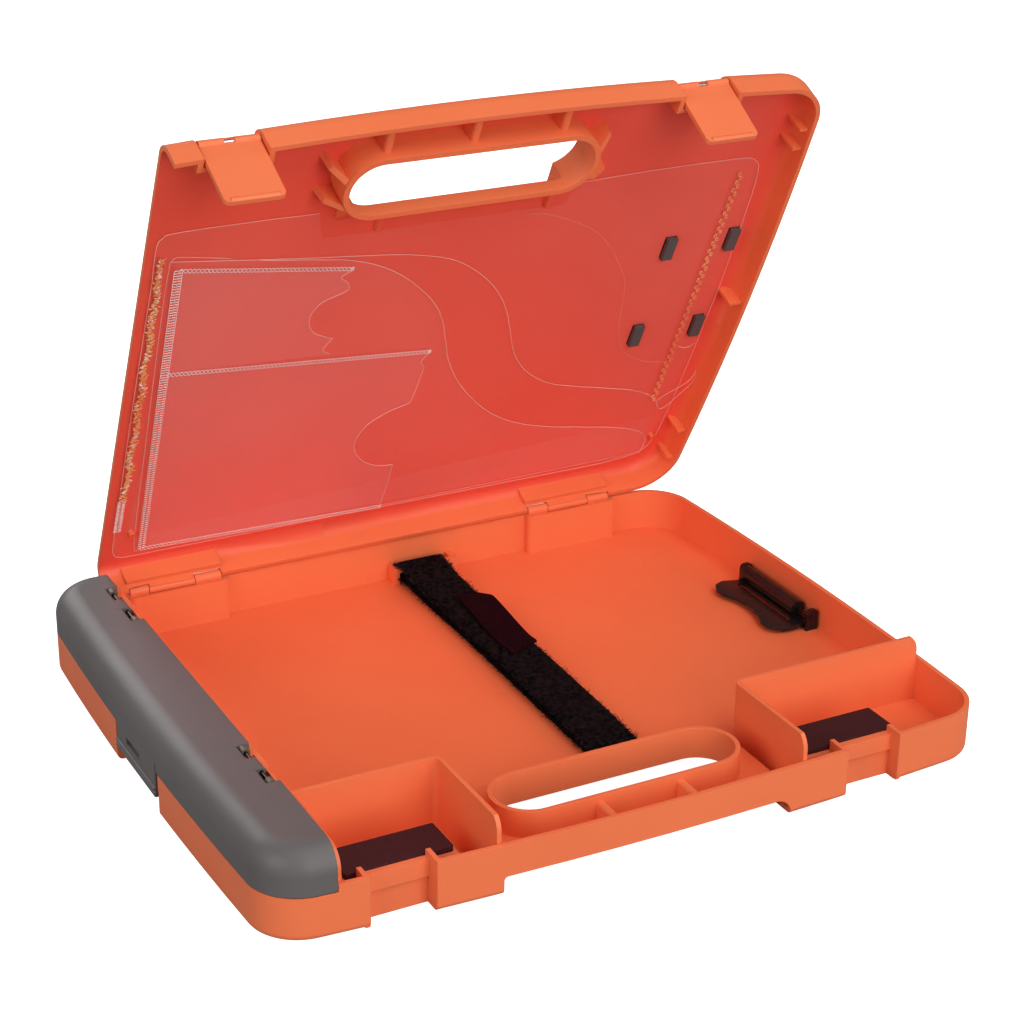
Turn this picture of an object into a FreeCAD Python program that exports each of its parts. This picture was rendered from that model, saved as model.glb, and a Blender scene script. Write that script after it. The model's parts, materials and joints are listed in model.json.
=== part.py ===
import FreeCAD, Part
import os
import re
import Sketcher
from FreeCAD import Placement, Rotation, Vector

# Flat hard-shell carry case: tray, hinged lid, end door, latches, strap, clip and film pockets.
# +Z up, origin at the centre of the tray's underside, millimetres.
# The lid and all that rides on it is drawn closed, then turned open about the hinge.

doc = FreeCAD.newDocument("CarryCase")
sheet = doc.addObject("Spreadsheet::Sheet", "Sizes")

SIZES = {
    # whole case
    "case_width": 370, "case_depth": 300.4, "rim_height": 24.5, "closed_height": 42.2,
    "wall": 2.5, "seam": 0.2, "corner_radius": 24, "base_round": 3,
    "bow_front": 8.4, "bow_back": 1.5, "bow_left": 4.5, "bow_right": 5,
    # lid
    "lid_left": -150.3, "lid_round": 8.3, "lid_open_angle": 63, "lid_back_inset": 3.2,
    "hinge_lift": 1.5, "knuckle_radius": 2.8, "hinge_pin_radius": 1.2, "running_gap": 0.04,
    # handle slot through tray and lid
    "slot_x": -3, "slot_y": -113.5, "slot_length": 120, "slot_width": 31.5, "ring_wall": 2.3,
    "lid_slot_y": -114,
    "lid_slot_length": 124, "lid_slot_width": 30, "lid_ring_length": 130, "lid_ring_width": 36,
    "grip_left": -77, "grip_right": 68, "grip_back": -84, "grip_height": 9,
    # latches
    "latch_left_x": -122.5, "latch_right_x": 113.5, "latch_gap_width": 29.5, "flap_width": 28,
    "flap_thick": 2.4, "flap_face": -144.6, "flap_top": 35.5, "flap_bottom": 0.4,
    "flap_pivot_y": -143.6, "flap_lean_left": 3, "flap_lean_right": 6,
    "latch_pin_radius": 1, "flap_barrel_radius": 2.1,
    # tray walls
    "partition_x": -151, "partition_top": 38.7, "compartment_left_x": -77,
    "compartment_right_x": 75, "compartment_back_y": -86, "compartment_top": 36.5,
    "compartment_wall": 2.2, "corner_round": 5,
    # end door
    "door_bottom": 21.4, "door_edge": -151.2, "door_pivot_x": -154.5, "door_pivot_z": 40.2,
    "door_barrel_radius": 2.1, "door_pin_radius": 0.9, "tab_low": 8.6, "tab_front": -21,
    "tab_back": 30,
    # strap
    "strap_width": 25, "strap_thick": 1.7,
    # clip
    "clip_pin_x": 176.6, "clip_pin_z": 10, "clip_front": -5, "clip_back": 59,
    "clip_pin_radius": 1.2, "clip_channel_radius": 4.2, "clip_channel_wall": 1.2,
    "clip_channel_front": 7, "clip_channel_back": 56, "clip_plate": 1.6, "clip_ear": 2.2,
    # loose inserts
    "pad_length": 50, "pad_width": 20.5, "pad_thick": 2.6, "shelf_top": 19.3, "film_thick": 0.3, "film_level": 38.2,
    "film_step": 0.5, "plate_thick": 1.2,
}
for row, (name, value) in enumerate(SIZES.items(), start=1):
    sheet.set("A%d" % row, name)
    sheet.set("B%d" % row, str(value))
    sheet.setAlias("B%d" % row, name)
doc.recompute()


def formula(text):
    """Point every size name in an expression at the sheet."""
    return re.sub(r"\b([a-z]+_?[a-z_]*)\b",
                  lambda m: "Sizes." + m.group(1) if m.group(1) in SIZES else m.group(1), str(text))


def bind(obj, **props):
    for prop, text in props.items():
        obj.setExpression(prop.replace("__", ".Base."), formula(text))
    return obj


def value(text):
    """Evaluate a size expression now, for choosing edges and placements."""
    total = re.sub(r"\b([a-z]+_?[a-z_]*)\b", lambda m: str(SIZES[m.group(1)]), str(text))
    return FreeCAD.Units.Quantity(total).Value


def box(name, x, y, z):
    obj = doc.addObject("Part::Box", name)
    bind(obj, Length="(%s) - (%s)" % (x[1], x[0]), Width="(%s) - (%s)" % (y[1], y[0]),
         Height="(%s) - (%s)" % (z[1], z[0]), Placement__x=x[0], Placement__y=y[0],
         Placement__z=z[0])
    return obj


def rod(name, axis, radius, span, at):
    """Cylinder along X, Y or Z over a span; at gives the other two coordinates in order."""
    obj = doc.addObject("Part::Cylinder", name)
    bind(obj, Radius=radius, Height="(%s) - (%s)" % (span[1], span[0]))
    turn = {"X": Rotation(Vector(0, 1, 0), 90), "Y": Rotation(Vector(1, 0, 0), -90),
            "Z": Rotation()}[axis]
    obj.Placement = Placement(Vector(), turn)
    order = {"X": (span[0], at[0], at[1]), "Y": (at[0], span[0], at[1]),
             "Z": (at[0], at[1], span[0])}[axis]
    bind(obj, Placement__x=order[0], Placement__y=order[1], Placement__z=order[2])
    return obj


def fuse(name, shapes):
    obj = doc.addObject("Part::MultiFuse", name)
    obj.Shapes = shapes
    obj.Refine = True
    return obj


def cut(name, base, tool):
    obj = doc.addObject("Part::Cut", name)
    obj.Base, obj.Tool = base, tool
    return obj


def common(name, base, tool):
    obj = doc.addObject("Part::Common", name)
    obj.Base, obj.Tool = base, tool
    return obj


def less(name, base, tools):
    return cut(name, base, tools[0] if len(tools) == 1 else fuse(name + "_tools", tools))


def fillet(name, base, choose):
    """Round the edges for which choose gives a radius, or a start and end radius."""
    doc.recompute()
    edges = []
    for number, edge in enumerate(base.Shape.Edges, start=1):
        radius = choose(edge)
        if radius:
            first, last = radius if isinstance(radius, tuple) else (radius, radius)
            edges.append((number, first, last))
    assert edges, "no edges chosen for " + name
    obj = doc.addObject("Part::Fillet", name)
    obj.Base = base
    obj.Edges = edges
    return obj


def upright(edge):
    b = edge.BoundBox
    return b.XLength < 0.01 and b.YLength < 0.01


def level(edge, z):
    b = edge.BoundBox
    return abs(b.ZMin - z) < 0.01 and abs(b.ZMax - z) < 0.01


def bowed(name, inset, z, corner, back_inset="0"):
    """Prism with four gently bowed sides and rounded upright corners."""
    half_w, half_d = "case_width / 2", "case_depth / 2"
    sides = []
    for side, bow, half, reach, sign in (
            ("left", "bow_left", half_d, half_w, 1), ("right", "bow_right", half_d, half_w, -1),
            ("front", "bow_front", half_w, half_d, 1), ("back", "bow_back", half_w, half_d, -1)):
        radius = "(pow(%s; 2) + pow(%s; 2)) / (2 * %s)" % (half, bow, bow)
        centre = "%d * (%s - %s)" % (sign, radius, reach)
        obj = doc.addObject("Part::Cylinder", name + "_" + side)
        less_by = "%s + %s" % (inset, back_inset) if side == "back" else inset
        bind(obj, Radius="%s - (%s)" % (radius, less_by), Height="(%s) - (%s)" % (z[1], z[0]),
             Placement__z=z[0])
        if side in ("left", "right"):
            bind(obj, Placement__x=centre)
        else:
            bind(obj, Placement__y=centre)
        sides.append(obj)
    pair_a = common(name + "_wide", sides[0], sides[1])
    pair_b = common(name + "_deep", sides[2], sides[3])
    return fillet(name + "_corners", common(name + "_block", pair_a, pair_b),
                  lambda e: corner if upright(e) else None)


def stadium(name, length, width, z, y="slot_y"):
    """Round-ended upright prism around the handle slot."""
    half = "(%s) / 2" % length
    deep = "(%s) / 2" % width
    body = box(name + "_mid", ("slot_x - %s + %s" % (half, deep), "slot_x + %s - %s" % (half, deep)),
               (y + " - " + deep, y + " + " + deep), z)
    ends = [rod(name + "_end%d" % n, "Z", deep, z, ("slot_x + %d * (%s - %s)" % (sign, half, deep),
                                                    y)) for n, sign in enumerate((-1, 1))]
    return fuse(name, [body] + ends)


def sketch_outline(body, name, points):
    """Closed, fully dimensioned outline on the body's own XY plane."""
    sketch = body.newObject("Sketcher::SketchObject", name)
    plane = [f for f in body.Origin.OriginFeatures if f.Role == "XY_Plane"][0]
    sketch.AttachmentSupport = [(plane, "")]
    sketch.MapMode = "FlatFace"
    loops = points if isinstance(points[0][0], (tuple, list)) else [points]
    for loop in loops:
        first = sketch.GeometryCount
        spots = [Vector(value(x), value(y), 0) for x, y in loop]
        for n, spot in enumerate(spots):
            sketch.addGeometry(Part.LineSegment(spot, spots[(n + 1) % len(spots)]), False)
        for n, (x, y) in enumerate(loop):
            here, after = first + n, first + (n + 1) % len(loop)
            sketch.addConstraint(Sketcher.Constraint("Coincident", here, 2, after, 1))
            for kind, text in (("DistanceX", x), ("DistanceY", y)):
                number = sketch.addConstraint(
                    Sketcher.Constraint(kind, -1, 1, here, 1, value(text)))
                sketch.setExpression("Constraints[%d]" % number, formula(text))
    return sketch


def plate(node, outline, thick, holes=None, rounds=None):
    """Flat piece: padded outline, optional pockets, optional rounded upright corners."""
    body = doc.addObject("PartDesign::Body", node)
    body.Label = node
    pad = body.newObject("PartDesign::Pad", node + "_pad")
    pad.Profile = sketch_outline(body, node + "_outline", outline)
    pad.setExpression("Length", formula(thick))
    doc.recompute()
    if rounds:
        chosen = [("Edge%d" % n, rounds(e)) for n, e in enumerate(pad.Shape.Edges, start=1)
                  if upright(e)]
        for radius in sorted({r for _, r in chosen if r}):
            tip = body.Tip
            names = []
            for edge_name, r in chosen:
                if r == radius:
                    spot = pad.Shape.getElement(edge_name).CenterOfMass
                    names += ["Edge%d" % n for n, e in enumerate(tip.Shape.Edges, start=1)
                              if upright(e) and e.CenterOfMass.distanceToPoint(spot) < 0.01]
            soft = body.newObject("PartDesign::Fillet", node + "_round")
            soft.Base = (tip, names)
            soft.Radius = radius
            doc.recompute()
    if holes:
        before = body.Shape.Volume
        pocket = body.newObject("PartDesign::Pocket", node + "_holes")
        pocket.Profile = sketch_outline(body, node + "_hole_outlines", holes)
        pocket.Type = "ThroughAll"
        pocket.Midplane = True
        doc.recompute()
        assert body.Shape.Volume < before - 1, node + " holes cut nothing"
    return body


def prism(name, outline, span):
    """Outline given in Y and Z, run along X."""
    body = plate(name, outline, "(%s) - (%s)" % (span[1], span[0]))
    body.Placement = Placement(Vector(value(span[0]), 0, 0), Rotation(Vector(1, 1, 1), 120))
    return body


FINAL = {}


def keep(node, obj, placement=None):
    obj.Label = node
    if placement is not None:
        obj.Placement = placement
    FINAL[node] = obj
    return obj


def rect(x, y):
    return [(x[0], y[0]), (x[1], y[0]), (x[1], y[1]), (x[0], y[1])]


# ---------------------------------------------------------------- shared places
HINGE_Y, HINGE_Z = "case_depth / 2 - lid_back_inset", "rim_height + hinge_lift"
LID_TURN = Placement(Vector(), Rotation(Vector(1, 0, 0), -value("lid_open_angle")),
                     Vector(0, value(HINGE_Y), value(HINGE_Z)))
LATCHES = (("left", "latch_left_x"), ("right", "latch_right_x"))
# lid hinges: name, tray knuckle, lid knuckle, tray knuckle
HINGES = (("left", (-138, -128), (-127.7, -103.3), (-103, -89)),
          ("right", (91, 103), (103.3, 127.7), (128, 141)))
# end door hinges: name, outer ear, door knuckle, outer ear
DOOR_HINGES = (("front", (-84, -80), (-72, -62), (-54, -50)),
               ("rear", (86, 90), (100, 110), (120, 124)))
RIVETS = (2, 44)
PADS = (("left", -144.2), ("right", 83.2))
PAD_FRONT = -135.4
LID_LOW = "rim_height + seam"
PANEL_UNDER = "closed_height - wall"


def inner_of_latch(side):
    return ("%s - latch_gap_width / 2" % side, "%s + latch_gap_width / 2" % side)


def along_y_at(height):
    """Picks a rib's two long edges at the given height, to be rounded."""
    return lambda e: 1.8 if e.BoundBox.YLength > 5 and level(e, height) else None


# ---------------------------------------------------------------- base tray
def base_tray():
    top = "rim_height"
    outer = fillet("tray_outer", bowed("tray_out", "0", ("0", top), value("corner_radius")),
                   lambda e: value("base_round") if level(e, 0) else None)
    inner = bowed("tray_in", "wall", ("wall", "closed_height + 5"),
                  value("corner_radius - wall"))
    adds, cuts = [], []
    # latch gaps in the front wall, shallow above and deeper below the bar
    for side, x in LATCHES:
        lo, hi = inner_of_latch(x)
        adds.append(box("latch_block_" + side, (lo + " - 2.2", hi + " + 2.2"), (-146, -135.8),
                        ("0", top)))
        cuts.append(box("latch_gap_" + side, (lo, hi), (-160, -139.6), (12, 30)))
        cuts.append(box("latch_under_" + side, (lo, hi), (-160, -138.1), (-1, 13.3)))
        cuts.append(box("latch_lowered_" + side, (lo, hi), (-160, -135), (21.6, 30)))
    # shelves that carry the pads
    for side, x in PADS:
        adds.append(box("pad_shelf_" + side, (x - 1.5, "%g + pad_length" % (x + 1.5)),
                        (-138, PAD_FRONT + 22), ("1", "shelf_top")))
    # raised floor over the hand grip, and the slot ring
    adds.append(box("grip_block", ("grip_left - 2", "grip_right + 2"), (-142, "grip_back + 2.5"),
                    ("0", "grip_height + wall")))
    adds.append(stadium("ring_outer", "slot_length + 2 * ring_wall", "slot_width + 2 * ring_wall",
                        ("0", top)))
    cuts.append(fillet("grip_recess", box("grip_space", ("grip_left", "grip_right"),
                                          (-170, "grip_back"), (-20, "grip_height")),
                       lambda e: (8.5 if e.CenterOfMass.x > 0 else 2)
                       if e.BoundBox.YLength > 50 and e.CenterOfMass.z > 0 else None))
    cuts.append(stadium("ring_inner", "slot_length", "slot_width", ("-5", "60")))
    for n, x in enumerate((-21, 20)):
        rib = box("ring_rib_plain_%d" % n, (x - 2, x + 2), (-146.4, -128.6), (10, 22))
        adds.append(fillet("ring_rib_%d" % n, rib, along_y_at(22)))
    # blocks behind the lid hinges, notches for the lid's knuckles
    for side, left, mid, right in HINGES:
        adds.append(fillet("hinge_block_" + side,
                           box("hinge_boss_" + side, (left[0] - 1, right[1] + 4), (142, 149),
                               ("0", top)),
                           lambda e: 3 if upright(e) and e.CenterOfMass.y < 143 else None))
        cuts.append(rod("lid_clear_" + side, "X", "knuckle_radius + 0.5",
                        (mid[0] - 0.5, mid[1] + 0.5), (HINGE_Y, HINGE_Z)))
    # outside notch under the end door's tab
    adds.append(box("tab_block", (-183.5, -176), ("tab_front - 6", "tab_back + 11"), ("0", 20.6)))
    cuts.append(box("tab_recess", (-200, -182.2), ("tab_front - 2.5", "tab_back + 2.5"), (-1, 40)))
    cuts.append(box("tab_notch", (-200, -179), ("tab_front - 3", "tab_back + 2.5"), (-1, 13)))
    # front, left and back walls are lower under the end door
    cuts.append(box("door_step", (-200, "partition_x"), (-200, 200), ("door_bottom - 0.4", 60)))
    shell = less("tray_shell", outer, [inner])
    walls = common("tray_adds", fuse("tray_add_set", adds), bowed(
        "tray_add_limit", "0.4", ("0.4", "closed_height + 5"), value("corner_radius") - 0.4))
    low = less("tray_low", fuse("tray_filled", [shell, walls]), cuts)

    # partition and compartment walls stand higher than the rim
    side_top = "partition_top"
    partition = box("partition", ("partition_x", "partition_x + wall"), (-160, 160),
                    (1, side_top))
    wall = "compartment_wall"
    tall = []
    for side, x, end in (("left", "compartment_left_x", "partition_x + 1"),
                         ("right", "compartment_right_x", "case_width / 2")):
        edge = "%s - %s" % (x, wall) if side == "left" else x
        cheek = box("cheek_wall_" + side, (edge, edge + " + " + wall),
                    (-160, "compartment_back_y - corner_round + 0.01"), (1, "compartment_top"))
        bend_x = "%s + %s * corner_round" % (x, "-1" if side == "left" else "1")
        bend_y = "compartment_back_y - corner_round"
        bend = less("bend_" + side,
                    rod("bend_out_" + side, "Z", "corner_round", (1, "compartment_top"),
                        (bend_x, bend_y)),
                    [rod("bend_in_" + side, "Z", "corner_round - " + wall, (-1, 60),
                         (bend_x, bend_y)),
                     box("bend_far_" + side,
                         (bend_x + " - 30", bend_x) if side == "left" else
                         (bend_x, bend_x + " + 30"), (bend_y + " - 30", bend_y + " + 30"),
                         (-1, 60)),
                     box("bend_near_" + side, (bend_x + " - 30", bend_x + " + 30"),
                         (bend_y + " - 30", bend_y), (-1, 60))])
        span = (end, bend_x + " + 0.01") if side == "left" else (bend_x + " - 0.01", end)
        back = box("back_wall_" + side, span, ("compartment_back_y - " + wall,
                                               "compartment_back_y"), (1, "compartment_top"))
        tall += [cheek, bend, back]
    # above the rim these walls stay inside the closed lid
    low_limit = bowed("tall_low", "0.8", ("1", "rim_height - 0.4"), value("corner_radius") - 0.8)
    high_limit = fillet("tall_high", bowed(
        "tall_high_block", "wall + 0.5", ("1", side_top), value("corner_radius - wall") - 0.5,
        "lid_back_inset"), lambda e: 9.5 if level(e, value(side_top)) else None)
    tall = common("tall_walls", fuse("tall_set", tall + [partition]),
                  fuse("tall_limit", [low_limit, high_limit]))

    # lid hinge knuckles, and ears for the end door's pins
    more, bores = [], []
    for side, left, mid, right in HINGES:
        for n, span in enumerate((left, right)):
            more.append(rod("knuckle_%s_%d" % (side, n), "X", "knuckle_radius", span,
                            (HINGE_Y, HINGE_Z)))
            more.append(box("knuckle_web_%s_%d" % (side, n), span,
                            (HINGE_Y + " - 2", HINGE_Y + " + 1.6"), (20, HINGE_Z)))
        bores.append(rod("hinge_bore_" + side, "X", "hinge_pin_radius + running_gap",
                         (left[0] - 1, right[1] + 1), (HINGE_Y, HINGE_Z)))
    for side, front, mid, back in DOOR_HINGES:
        for n, span in enumerate((front, back)):
            more.append(rod("ear_%s_%d" % (side, n), "Y", "door_barrel_radius", span,
                            ("door_pivot_x", "door_pivot_z")))
            more.append(box("ear_foot_%s_%d" % (side, n),
                            ("door_pivot_x - door_barrel_radius", "partition_x + 0.5"), span,
                            (33, "partition_top")))
        bores.append(rod("door_bore_" + side, "Y", "door_pin_radius + running_gap",
                         (front[0] - 1, back[1] + 1), ("door_pivot_x", "door_pivot_z")))
    bores += [box("partition_notch_%d" % n, ("partition_x + 1.2", "partition_x + 5"), span,
                  (35.2, 45)) for n, span in enumerate(((-84, -66), (76, 106)))]
    bores += [rod("rivet_hole_%d" % n, "Z", "1.25", (-1, 3), ("clip_pin_x + 1.2", y))
              for n, y in enumerate(RIVETS)]
    bores.append(rod("gate_mark", "Z", "2.2", ("wall - 0.3", "wall + 5"), (3, 7)))
    catch = box("door_catch", (-182.7, -182), (1.5, 15.5), (17, 19.4))
    whole = fuse("tray_whole", [low, tall, catch] + more)
    return keep("base_tray", less("base_tray", whole, bores))


# ---------------------------------------------------------------- lid
def lid():
    outer = fillet("lid_outer", bowed("lid_out", "0", (LID_LOW, "closed_height"),
                                      value("corner_radius"), "lid_back_inset"),
                   lambda e: value("lid_round") if level(e, value("closed_height")) else None)
    inner = fillet("lid_inner", bowed("lid_in", "wall", ("10", PANEL_UNDER),
                                      value("corner_radius - wall"), "lid_back_inset"),
                   lambda e: value("lid_round") - 2.5 if level(e, value(PANEL_UNDER)) else None)
    adds, cuts = [], []
    for side, x in LATCHES:
        lo, hi = inner_of_latch(x)
        adds.append(box("lid_latch_block_" + side, (lo + " - 2.6", hi + " + 2.6"),
                        (-148, -137.8), (LID_LOW, 41)))
        cuts.append(box("lid_latch_gap_" + side, (lo, hi), (-160, -140.2), (10, 60)))
        cuts.append(rod("latch_bore_" + side, "X", "latch_pin_radius + running_gap",
                        (lo + " - 2", hi + " + 2"), ("flap_pivot_y", "flap_top")))
    adds.append(stadium("lid_ring", "lid_ring_length", "lid_ring_width", (LID_LOW, 41),
                        "lid_slot_y"))
    cuts.append(stadium("lid_slot", "lid_slot_length", "lid_slot_width", ("0", "60"),
                        "lid_slot_y"))
    # the slot's rear edge is scooped from outside, so that fingers get under it
    scoop = [(-114, 31.7), (-99, 31.7), (-84, 42.9), (-84, 60), (-114, 60)]
    shell_under = [(-114, 29.3), (-98.2, 29.3), (-82.5, 41), (-114, 41)]
    adds.append(prism("scoop_shell", shell_under, (-61, 51.5)))
    cuts.append(prism("scoop", scoop, (-58.5, 49)))
    for n, x in enumerate((-48, -5, 41)):
        rib = box("top_rib_plain_%d" % n, (x - 2.1, x + 2.1), (-146, -131), (29, 40.5))
        adds.append(fillet("top_rib_%d" % n, rib, along_y_at(29)))
    ribs = [((x - 1.2, x + 1.2), (-90, -76), (36.6, 40.5)) for x in (-38.5, 50)]
    ribs += [((175, 184), (y - 0.8, y + 0.8), (27, 40.5)) for y in (-114, -102, 5, 104, 126)]
    adds += [box("lid_rib_%d" % n, *rib) for n, rib in enumerate(ribs)]
    # gussets that brace the ring's ends against the panel
    for n, (x, y, turn) in enumerate(((-64, -118, 217), (-62, -104, 190), (58, -118, -32),
                                      (59, -104, 10))):
        web = plate("gusset_%d" % n, [(-2, 25.6), (4, 25.6), (12, 31), (13.5, 40.5), (-2, 40.5)],
                    "3")
        web.Placement = Placement(Vector(x, y, 0), Rotation(Vector(0, 0, 1), turn)).multiply(
            Placement(Vector(0, 1.5, 0), Rotation(Vector(1, 0, 0), 90)))
        adds.append(web)
    adds += [rod("film_peg_%d" % n, "Z", "1.5", (36.6, 40.5), spot)
             for n, spot in enumerate(((-136, 115), (168, 117)))]
    for side, left, mid, right in HINGES:
        adds.append(box("lid_hinge_boss_" + side, (left[0] - 1, right[1] + 1), (141.5, 146),
                        (LID_LOW + " + 4", 41)))
        for n, span in enumerate((left, right)):
            cuts.append(rod("tray_clear_%s_%d" % (side, n), "X", "knuckle_radius + 0.5",
                            (span[0] - 0.5, span[1] + 0.5), (HINGE_Y, HINGE_Z)))
            cuts.append(box("web_clear_%s_%d" % (side, n), (span[0] - 0.5, span[1] + 0.5),
                            (140, 160), (10, HINGE_Z)))
    cuts.append(box("lid_end", (-300, "lid_left"), (-300, 300), (0, 60)))
    cuts.append(box("plate_seat", (124.6, 177.4), (-43, 40.5), ("closed_height - 1.3", 60)))
    for n, (x, y) in enumerate(SNAPS):
        cuts.append(box("snap_slot_%d" % n, (x - 3.4, x + 3.4), (y - 7.4, y + 7.4), (30, 60)))
    limit = fillet("lid_limit", bowed("lid_limit_block", "0.4", (LID_LOW, "closed_height - 0.5"),
                                      value("corner_radius") - 0.4, "lid_back_inset"),
                   lambda e: value("lid_round") if level(e, value("closed_height - 0.5")) else None)
    walls = common("lid_adds", fuse("lid_add_set", adds), limit)
    shell = less("lid_shell", outer, [inner])
    body = less("lid_body", fuse("lid_filled", [shell, walls]), cuts)
    more, bores = [], []
    for side, left, mid, right in HINGES:
        more.append(rod("lid_knuckle_" + side, "X", "knuckle_radius", mid, (HINGE_Y, HINGE_Z)))
        more.append(box("lid_web_" + side, mid, (HINGE_Y + " - 2.4", HINGE_Y),
                        (HINGE_Z, HINGE_Z + " + 5")))
        bores.append(rod("lid_bore_" + side, "X", "hinge_pin_radius + running_gap",
                         (mid[0] - 3, mid[1] + 3), (HINGE_Y, HINGE_Z)))
    whole = less("lid", fuse("lid_whole", [body] + more), bores)
    return keep("lid", whole, LID_TURN)


# ---------------------------------------------------------------- end door
def end_door():
    top = "closed_height"
    outer = fillet("door_outer", bowed("door_out", "0", ("door_bottom", top),
                                       value("corner_radius")), lambda e: 12
                   if level(e, value(top)) else None)
    inner = fillet("door_inner", bowed("door_in", "wall", ("5", PANEL_UNDER),
                                       value("corner_radius - wall")), lambda e: 9.5
                   if level(e, value(PANEL_UNDER)) else None)
    hollow = less("door_hollow", outer, [inner, box("door_right", ("door_edge", 300),
                                                    (-300, 300), (0, 60))])
    tab = box("tab", (-185.2, -182.8), ("tab_front", "tab_back"), ("tab_low", 26))
    grips = [rod("tab_grip_low", "Y", "1.3", ("tab_front", "tab_back"), (-184.7, "tab_low + 1.3")),
             rod("tab_grip_high", "Y", "0.9", ("tab_front", "tab_back"), (-185.1, "tab_low + 4"))]
    window = box("tab_window", (-200, -180), (0, 17), (16.5, 20))
    notches = [box("ear_gap_" + side, ("door_pivot_x - 3", -140), (front[0] - 0.5, back[1] + 0.5),
                   (30, 60)) for side, front, mid, back in DOOR_HINGES]
    knuckles, bores = [], []
    for side, front, mid, back in DOOR_HINGES:
        knuckles.append(rod("door_knuckle_" + side, "Y", "door_barrel_radius", mid,
                            ("door_pivot_x", "door_pivot_z")))
        knuckles.append(box("door_arm_" + side, ("door_pivot_x - 6", "door_pivot_x"), mid,
                            ("door_pivot_z - 0.2", "door_pivot_z + 2.1")))
        bores.append(rod("door_knuckle_bore_" + side, "Y", "door_pin_radius + running_gap",
                         (mid[0] - 1, mid[1] + 1), ("door_pivot_x", "door_pivot_z")))
    skin = less("door_skin", fuse("door_with_tab", [hollow, tab] + grips), [window] + notches)
    return keep("end_door", less("end_door", fuse("door_whole", [skin] + knuckles), bores))


# ---------------------------------------------------------------- latches and pins
def latch_parts():
    pivot_y = "flap_pivot_y"
    for side, x in LATCHES:
        lo, hi = x + " - flap_width / 2", x + " + flap_width / 2"
        leaf = box("flap_leaf_" + side, (lo, hi), ("flap_face", "flap_face + flap_thick"),
                   ("flap_bottom", "flap_top"))
        soft = fillet("flap_soft_" + side, leaf, lambda e: 3 if e.BoundBox.YLength > 2
                      and level(e, value("flap_bottom")) else None)
        barrel = rod("flap_barrel_" + side, "X", "flap_barrel_radius", (lo, hi),
                     (pivot_y, "flap_top"))
        lip = rod("flap_lip_" + side, "X", "1.5", (lo + " + 3", hi + " - 3"),
                  ("flap_face + 1", "flap_bottom + 1.5"))
        bore = rod("flap_bore_" + side, "X", "latch_pin_radius + running_gap",
                   (lo + " - 1", hi + " + 1"), (pivot_y, "flap_top"))
        notch = box("flap_notch_" + side, (x + " - 2.5", x + " + 2.5"), (-150, -138),
                    ("flap_top - 1.6", "flap_top + 5"))
        whole = less("flap_" + side, fuse("flap_set_" + side, [soft, barrel, lip]),
                     [bore, notch])
        keep("latch_flap_" + side, whole, LID_TURN.multiply(Placement(
            Vector(), Rotation(Vector(1, 0, 0), value("flap_lean_" + side)),
            Vector(0, value(pivot_y), value("flap_top")))))
        lo, hi = inner_of_latch(x)
        keep("latch_pin_" + side, fuse("latch_pin_" + side, [
            rod("latch_shaft_" + side, "X", "latch_pin_radius", (lo + " - 1.8", x),
                (pivot_y, "flap_top")),
            rod("latch_shaft_b_" + side, "X", "latch_pin_radius", (x, hi + " + 1.8"),
                (pivot_y, "flap_top"))]), LID_TURN)
    for side, left, mid, right in HINGES:
        keep("hinge_pin_" + side, rod("hinge_pin_" + side, "X", "hinge_pin_radius",
                                      (left[0] + 0.3, right[1] - 0.3), (HINGE_Y, HINGE_Z)))
    for side, front, mid, back in DOOR_HINGES:
        keep("door_pin_" + side, rod("door_pin_" + side, "Y", "door_pin_radius",
                                     (front[0] + 0.3, back[1] - 0.3),
                                     ("door_pivot_x", "door_pivot_z")))


# ---------------------------------------------------------------- strap
def strap():
    # bridge at the back that the strap runs through; it stands on the floor against the wall
    loop = [box("loop_bar", (7, 44), (138.5, 142), (9.2, 11.6))]
    loop += [box("loop_post_%d" % n, (x, x + 3), (138.5, 147.4), ("wall", 11.6))
             for n, x in enumerate((7, 41))]
    keep("strap_bridge", fuse("strap_bridge", loop))

    spine = ((21.5, -80.5), (24, -30), (25, 100), (25.5, 136.5))
    left = [("%s - strap_width / 2" % x, y) for x, y in spine]
    right = [("%s + strap_width / 2" % x, y) for x, y in reversed(spine)]
    layers = (("strap_lower", "wall + 0.15", left + right),
              ("strap_upper", "wall + 0.35 + strap_thick", left + right),
              ("strap_hook_end", "wall + 0.55 + 2 * strap_thick",
               [(14, 32), (20, 27.5), (37.6, 46), (40.5, 94), (17, 97)]))
    for node, height, outline in layers:
        keep(node, plate(node, outline, "strap_thick"), Placement(
            Vector(0, 0, value(height)), Rotation()))


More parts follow.
